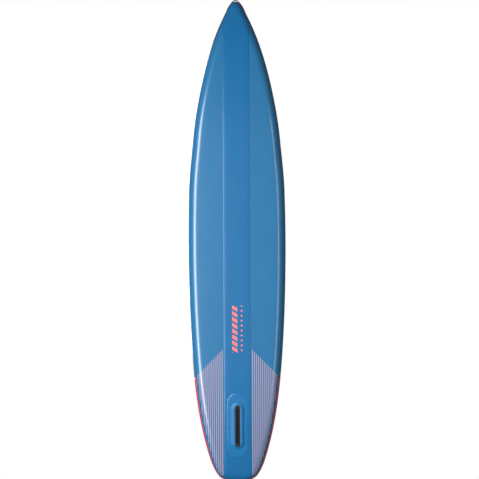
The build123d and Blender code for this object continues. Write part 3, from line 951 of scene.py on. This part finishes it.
def end_patch(name, sign):
    """Patches on both rails that the end webbing is sewn to."""
    low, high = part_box(f"{name}_patches")
    x_near, x_far = (low.x, high.x) if sign > 0 else (high.x, low.x)
    for side_name, side in (("left", 1), ("right", -1)):
        outer, inner = [], []
        for share in (0, 0.03, 0.1, 0.3, 0.5, 0.7, 0.9, 0.97, 1):
            row = lines.row(x_near + (x_far - x_near) * share)
            reach = math.asin(min(1, 24 * MM / max(row[3], 24 * MM)))
            up = 0.2 if share in (0, 1) else 2.4
            angles = [reach * v for v in (-1, -0.94, -0.5, 0, 0.5, 0.94, 1)]
            ups = [0.2] + [up] * 5 + [0.2]
            outer.append([round_side(row, a, side, u * MM) for a, u in zip(angles, ups)])
            inner.append([round_side(row, a, side, -0.6 * MM) for a in angles])
        patch = shell(f"{name}_patch_{side_name}", outer, inner)
        place(patch, pvc_patch, replaces=(f"{name}_patches",))


carry_handle()
for handle, sign in (("nose_handle", 1), ("tail_handle", -1)):
    end_handle(handle, sign)
    end_patch(handle, sign)


# ------------------------------------------------------------------ D-rings
RING_RISE = 5.9 * MM       # a ring's bar over the skin
LOOP_RADIUS = 3.1 * MM


def ring_tab(name, hinge):
    """Round patch with a webbing tab folded round the ring's bar."""
    pin = Vector(hinge["pos_m"])
    axis = Vector(hinge["axis"])
    spot = tangent_frame(pin.x, pin.y, 1)
    out = spot.col[2].to_3d()
    back = axis.cross(out).normalized()
    spot.translation = pin - out * RING_RISE
    gap = (spot.translation - surface(pin.x, pin.y, 1)).dot(out)
    glued_patch(f"{name}_patch", circle_loop(pin.x, pin.y, 36 * MM), 1, 2 * MM, pvc_patch,
                "ring_patches", dome=gap)
    route = [(33, 2.9), (20, 3.0), (9, 3.3)]
    points = [pin + back * (x * MM) + out * (z * MM - RING_RISE) for x, z in route]
    turn = [pin + (back * math.cos(a) + out * math.sin(a)) * LOOP_RADIUS
            for a in np.linspace(-math.pi * 0.42, -math.pi * 1.5, 16)]
    return_route = [(6, 8.2), (12, 5.2), (20, 4.6), (33, 4.4)]
    over = [pin + back * (x * MM) + out * (z * MM - RING_RISE) for x, z in return_route]
    strap = strap_mesh(f"{name}_tab", points + turn + over, axis, 20 * MM, 1.45 * MM)
    place(strap, webbing, replaces=("ring_tabs",))
    sew = Matrix((back, axis, out)).transposed().to_4x4()
    sew.translation = pin + back * 0.022 - out * RING_RISE
    stitch_box(f"{name}_stitch", sew, 0.014, 0.014, 5.15 * MM)


for joint in frame["joints"]:
    if "ring_" in joint["name"]:
        ring_tab(joint["child"], joint)


# ------------------------------------------------------------------ valve
valve_low, valve_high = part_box("valve_seal_disc")
VALVE = (valve_low + valve_high) / 2
cap_low, cap_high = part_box("valve_cap")


def valve_patch():
    low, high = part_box("valve_patch")
    loop = circle_loop(VALVE.x, 0, (high.x - low.x) / 2, 64)
    glued_patch("valve_patch", loop, 1, 1.6 * MM, pvc_patch, "valve_patch")


def cap_ribs():
    """Grip ribs round the cap's rim."""
    count, radius = 36, (cap_high.x - cap_low.x) / 2
    points, faces = [], []
    low, high = cap_low.z + 0.8 * MM, cap_low.z + 7.6 * MM
    for i in range(count):
        angle = TAU * i / count
        out = Vector((math.cos(angle), math.sin(angle), 0))
        aside = Vector((-out.y, out.x, 0)) * 1.1 * MM
        first = len(points)
        for z in (low, high):
            base = Vector((VALVE.x, 0, z)) + out * (radius - 0.3 * MM)
            crest = base + out * 0.8 * MM
            points += [base - aside, base + aside, crest + aside * 0.45, crest - aside * 0.45]
        a = first
        faces += [(a, a + 3, a + 2, a + 1), (a + 4, a + 5, a + 6, a + 7)]
        faces += [(a + j, a + (j + 1) % 4, a + 4 + (j + 1) % 4, a + 4 + j) for j in range(4)]
    place(mesh_object("valve_cap_ribs", points, faces, shade=False), cap_plastic, "cap")


def coil_spring():
    """Round wire between the guide and the stem's button."""
    low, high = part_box("valve_spring")
    radius, wire, turns = (high.x - low.x) / 2 - 0.6 * MM, 0.45 * MM, 5
    steps = turns * 28
    loops = []
    for i in range(steps + 1):
        share = i / steps
        angle = TAU * turns * share
        out = Vector((math.cos(angle), math.sin(angle), 0))
        rise = low.z + wire + (high.z - low.z - 2 * wire) * share
        centre = Vector((VALVE.x, 0, rise)) + out * radius
        around = [TAU * j / 8 for j in range(8)]
        loops.append([centre + out * (wire * math.cos(a)) + Vector((0, 0, wire * math.sin(a)))
                      for a in around])
    coil = place(stack("valve_spring", loops), spring_steel, None, ("valve_spring",))
    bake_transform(coil)


valve_patch()
cap_ribs()
coil_spring()

# ------------------------------------------------------------------ CAD pieces that stay
KEPT = {
    "core_yarns": yarn,
    "inner_seam_tape_left": tape_pvc, "inner_seam_tape_right": tape_pvc,
    "fin_box_insert": black_plastic,
    "valve_body": valve_plastic, "valve_back_nut": valve_plastic, "valve_stem": valve_plastic,
    "valve_gasket": silicone, "valve_seal_disc": silicone, "valve_cap_seal": silicone,
    "valve_cap": cap_plastic, "valve_cap_strap": silicone,
}
KEPT.update({name: ring_steel for name in NODES if name.endswith("_ring") or "_ring_" in name})
for name, material in KEPT.items():
    for material_slot in NODES[name].material_slots:
        material_slot.material = material


# ------------------------------------------------------------------ stage, lights and camera
FLOOR_HALF = 30.0
FLOOR_DROP = 4 * MM        # below the board
FLOOR_GREY = srgb(196, 196, 196)


def floor():
    """Pale floor just under the board. It shows from above only, so the bottom can be seen."""
    low = cad_low.z - FLOOR_DROP
    points = [(x * FLOOR_HALF, y * FLOOR_HALF, low) for x, y in ((-1, -1), (1, -1), (1, 1), (-1, 1))]
    plane = mesh_object("floor", points, [(0, 1, 2, 3)], shade=False)
    made = Shader("floor", FLOOR_GREY, 0.9)
    tree = made.tree
    made.color(made.vary(FLOOR_GREY, 0.01, 0.7))
    made.bsdf.inputs["Emission Color"].default_value = (1, 1, 1, 1)
    made.bsdf.inputs["Emission Strength"].default_value = 0.32
    clear = tree.nodes.new("ShaderNodeBsdfTransparent")
    mix = tree.nodes.new("ShaderNodeMixShader")
    facing = tree.nodes.new("ShaderNodeNewGeometry").outputs["Backfacing"]
    output = tree.nodes["Material Output"]
    tree.links.new(facing, mix.inputs[0])
    tree.links.new(made.bsdf.outputs[0], mix.inputs[1])
    tree.links.new(clear.outputs[0], mix.inputs[2])
    tree.links.new(mix.outputs[0], output.inputs["Surface"])
    plane.data.materials.append(made.material)
    if plane.data.polygons[0].normal.z < 0:
        plane.data.flip_normals()
    plane.visible_shadow = plane.visible_diffuse = plane.visible_glossy = False


def area_light(name, spot, aim, size, power, color=(1, 1, 1), reflected=True):
    data = bpy.data.lights.new(name, "AREA")
    data.shape, data.size, data.size_y = "RECTANGLE", *size
    data.energy, data.color = power, color
    lamp = bpy.data.objects.new(name, data)
    lamp.location = spot
    away = (Vector(spot) - Vector(aim)).normalized()
    side = Vector((1, 0, 0))
    up = away.cross(side).normalized()
    lamp.matrix_world = Matrix((side, up, away)).transposed().to_4x4()
    lamp.matrix_world.translation = Vector(spot)
    lamp.visible_camera = False
    lamp.visible_glossy = reflected
    bpy.context.scene.collection.objects.link(lamp)


def world():
    made = bpy.data.worlds.new("studio")
    bpy.context.scene.world = made
    made.use_nodes = True
    tree = made.node_tree
    background = tree.nodes["Background"]
    background.inputs["Color"].default_value = (1, 1, 1, 1)
    path = tree.nodes.new("ShaderNodeLightPath")
    strength = tree.nodes.new("ShaderNodeMapRange")
    strength.inputs["To Min"].default_value = 0.08
    strength.inputs["To Max"].default_value = 1.0
    tree.links.new(path.outputs["Is Camera Ray"], strength.inputs["Value"])
    tree.links.new(strength.outputs[0], background.inputs["Strength"])


CAMERA_PLACE = (-0.004, 0.022, -7.0)
CAMERA_LENS = 68.2         # millimetres
CAMERA_LEAN = -0.3         # degrees


def camera():
    """From straight below, nose up in the picture, with the board's slight lean."""
    data = bpy.data.cameras.new("camera")
    data.sensor_width, data.lens = 36, CAMERA_LENS
    data.clip_end = 100
    made = bpy.data.objects.new("camera", data)
    bpy.context.scene.collection.objects.link(made)
    facing = Matrix(((0, 1, 0), (1, 0, 0), (0, 0, -1))).to_4x4()
    lean = Matrix.Rotation(math.radians(CAMERA_LEAN), 4, "Z")
    made.matrix_world = Matrix.Translation(CAMERA_PLACE) @ facing @ lean
    bpy.context.scene.camera = made


floor()
area_light("under_left", (-0.1, -3.1, -4.3), (0, -0.2, 0), (7.5, 1.3), 500)
area_light("under_glow", (0.2, -1.9, -5.2), (0, -0.2, 0), (5.0, 1.0), 60)
area_light("under_right", (0.0, 3.0, -4.4), (0, 0.2, 0), (6.5, 0.7), 90, (1, 0.93, 0.85))
area_light("deck_key", (1.0, -4.0, 5.5), (0, 0, 0.1), (6.0, 3.0), 330)
area_light("deck_fill", (-1.5, 4.5, 4.5), (0, 0, 0.1), (6.0, 3.0), 160, reflected=False)
world()
camera()
bpy.context.scene.view_settings.view_transform = "Standard"
